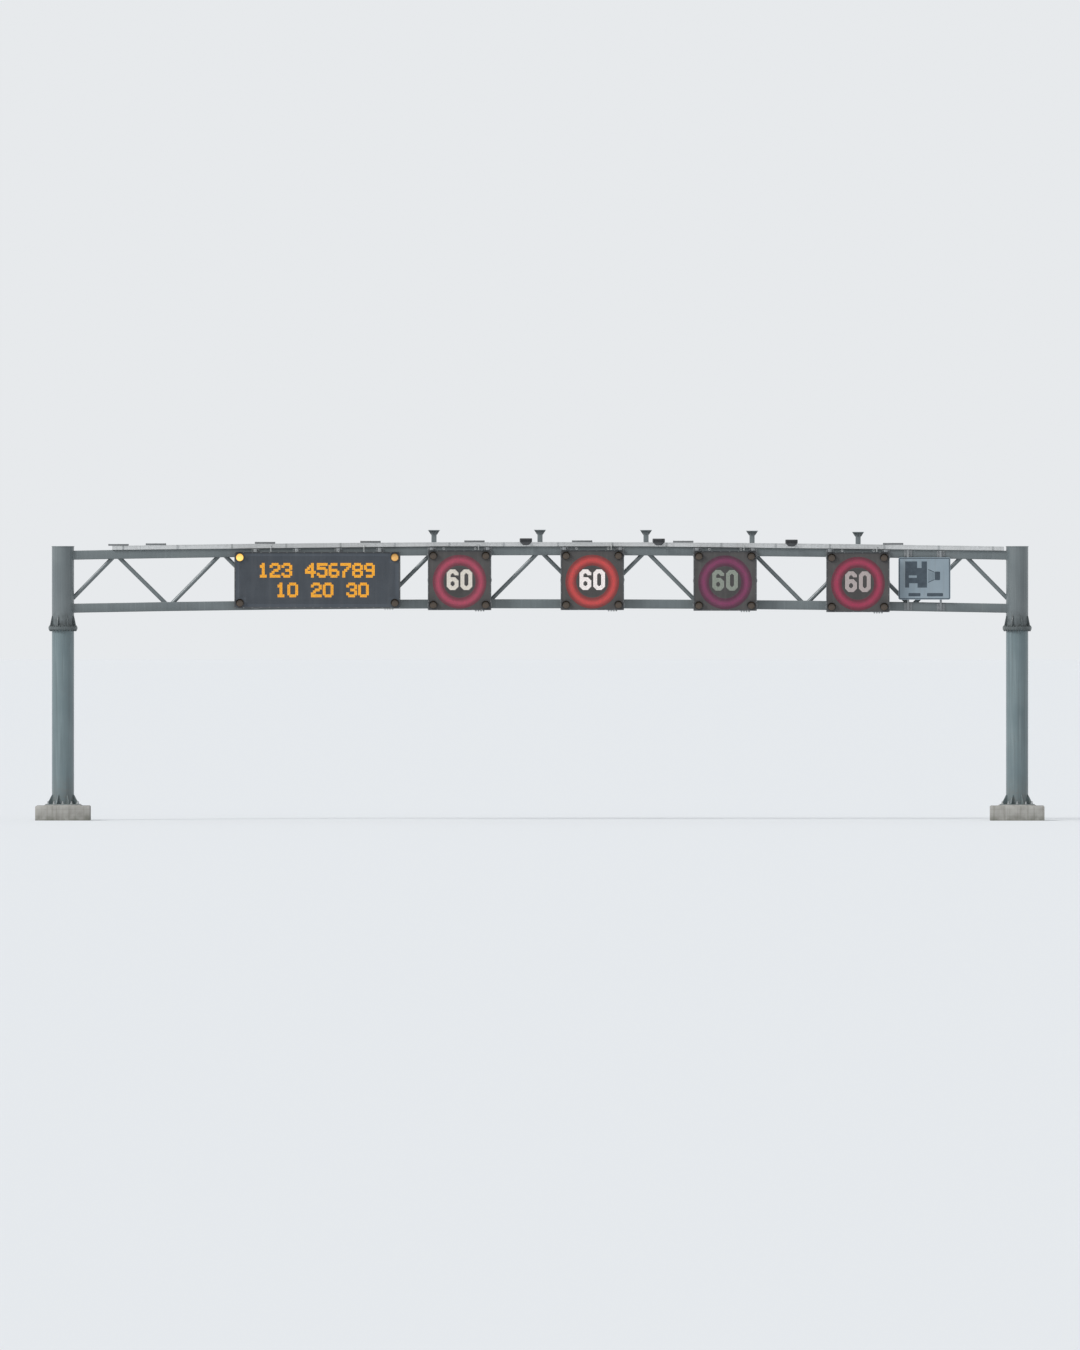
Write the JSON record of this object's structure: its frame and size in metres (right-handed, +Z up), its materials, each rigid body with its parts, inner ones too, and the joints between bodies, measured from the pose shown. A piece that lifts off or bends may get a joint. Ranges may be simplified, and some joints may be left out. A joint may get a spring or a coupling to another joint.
{
  "type": "overhead sign gantry",
  "caption": "Tubular portal over a carriageway: round legs on plinths carry a cambered lattice truss with lane signals, a message sign and a camera sign on its front.",
  "frame": {"origin": "ground level, midway between the legs, on the truss's centre plane", "axes": "+X along the span to the right as drivers see it, -Y towards the drivers, +Z up"},
  "size_m": [27.74, 1.5, 7.988],
  "materials": {
    "concrete": "cast concrete with rain streaks",
    "leg_steel": "blue-grey paint, satin, weathered",
    "truss_steel": "blue-grey paint, satin, weathered",
    "galvanised_steel": "dull galvanised steel",
    "cabinet_paint": "dark grey powder coat",
    "message_panel": "matt dark blue-grey panel of small lamps",
    "signal_panel": "matt dark grey panel of light dots",
    "lantern_plastic": "black housing with amber lens",
    "sign_plate": "pale blue-grey plate",
    "channel_aluminium": "mill finish",
    "luminaire_shell": "grey powder coat",
    "box_paint": "grey powder coat"
  },
  "bodies": {
    "root": {"plinth_left": "concrete", "plinth_right": "concrete", "base_plate_left": "leg_steel", "base_plate_right": "leg_steel", "lower_leg_left": "leg_steel", "lower_leg_right": "leg_steel", "lower_flange_left": "leg_steel", "lower_flange_right": "leg_steel", "upper_flange_left": "leg_steel", "upper_flange_right": "leg_steel", "leg_gussets_left": "leg_steel", "leg_gussets_right": "leg_steel", "upper_leg_left": "leg_steel", "upper_leg_right": "leg_steel", "leg_caps": "leg_steel", "bottom_chord": "truss_steel", "top_chord": "truss_steel", "truss_diagonals": "truss_steel", "message_sign_rails": "galvanised_steel", "lane_signal_rails": "galvanised_steel", "camera_sign_rails": "galvanised_steel", "rail_cleats": "galvanised_steel", "message_sign_case": "cabinet_paint", "message_sign_face": "message_panel", "message_sign_lanterns": "lantern_plastic", "camera_sign_plate": "sign_plate", "camera_sign_channels": "channel_aluminium", "board_posts": "truss_steel", "board_post_heads": "truss_steel", "luminaire_brackets": "galvanised_steel", "luminaires": "luminaire_shell", "cable_tray": "galvanised_steel", "tray_boxes": "box_paint", "lane_signal_1_case": "cabinet_paint", "lane_signal_1_face": "signal_panel", "lane_signal_1_lanterns": "lantern_plastic", "lane_signal_2_case": "cabinet_paint", "lane_signal_2_face": "signal_panel", "lane_signal_2_lanterns": "lantern_plastic", "lane_signal_3_case": "cabinet_paint", "lane_signal_3_face": "signal_panel", "lane_signal_3_lanterns": "lantern_plastic", "lane_signal_4_case": "cabinet_paint", "lane_signal_4_face": "signal_panel", "lane_signal_4_lanterns": "lantern_plastic"}
  },
  "joints": []
}
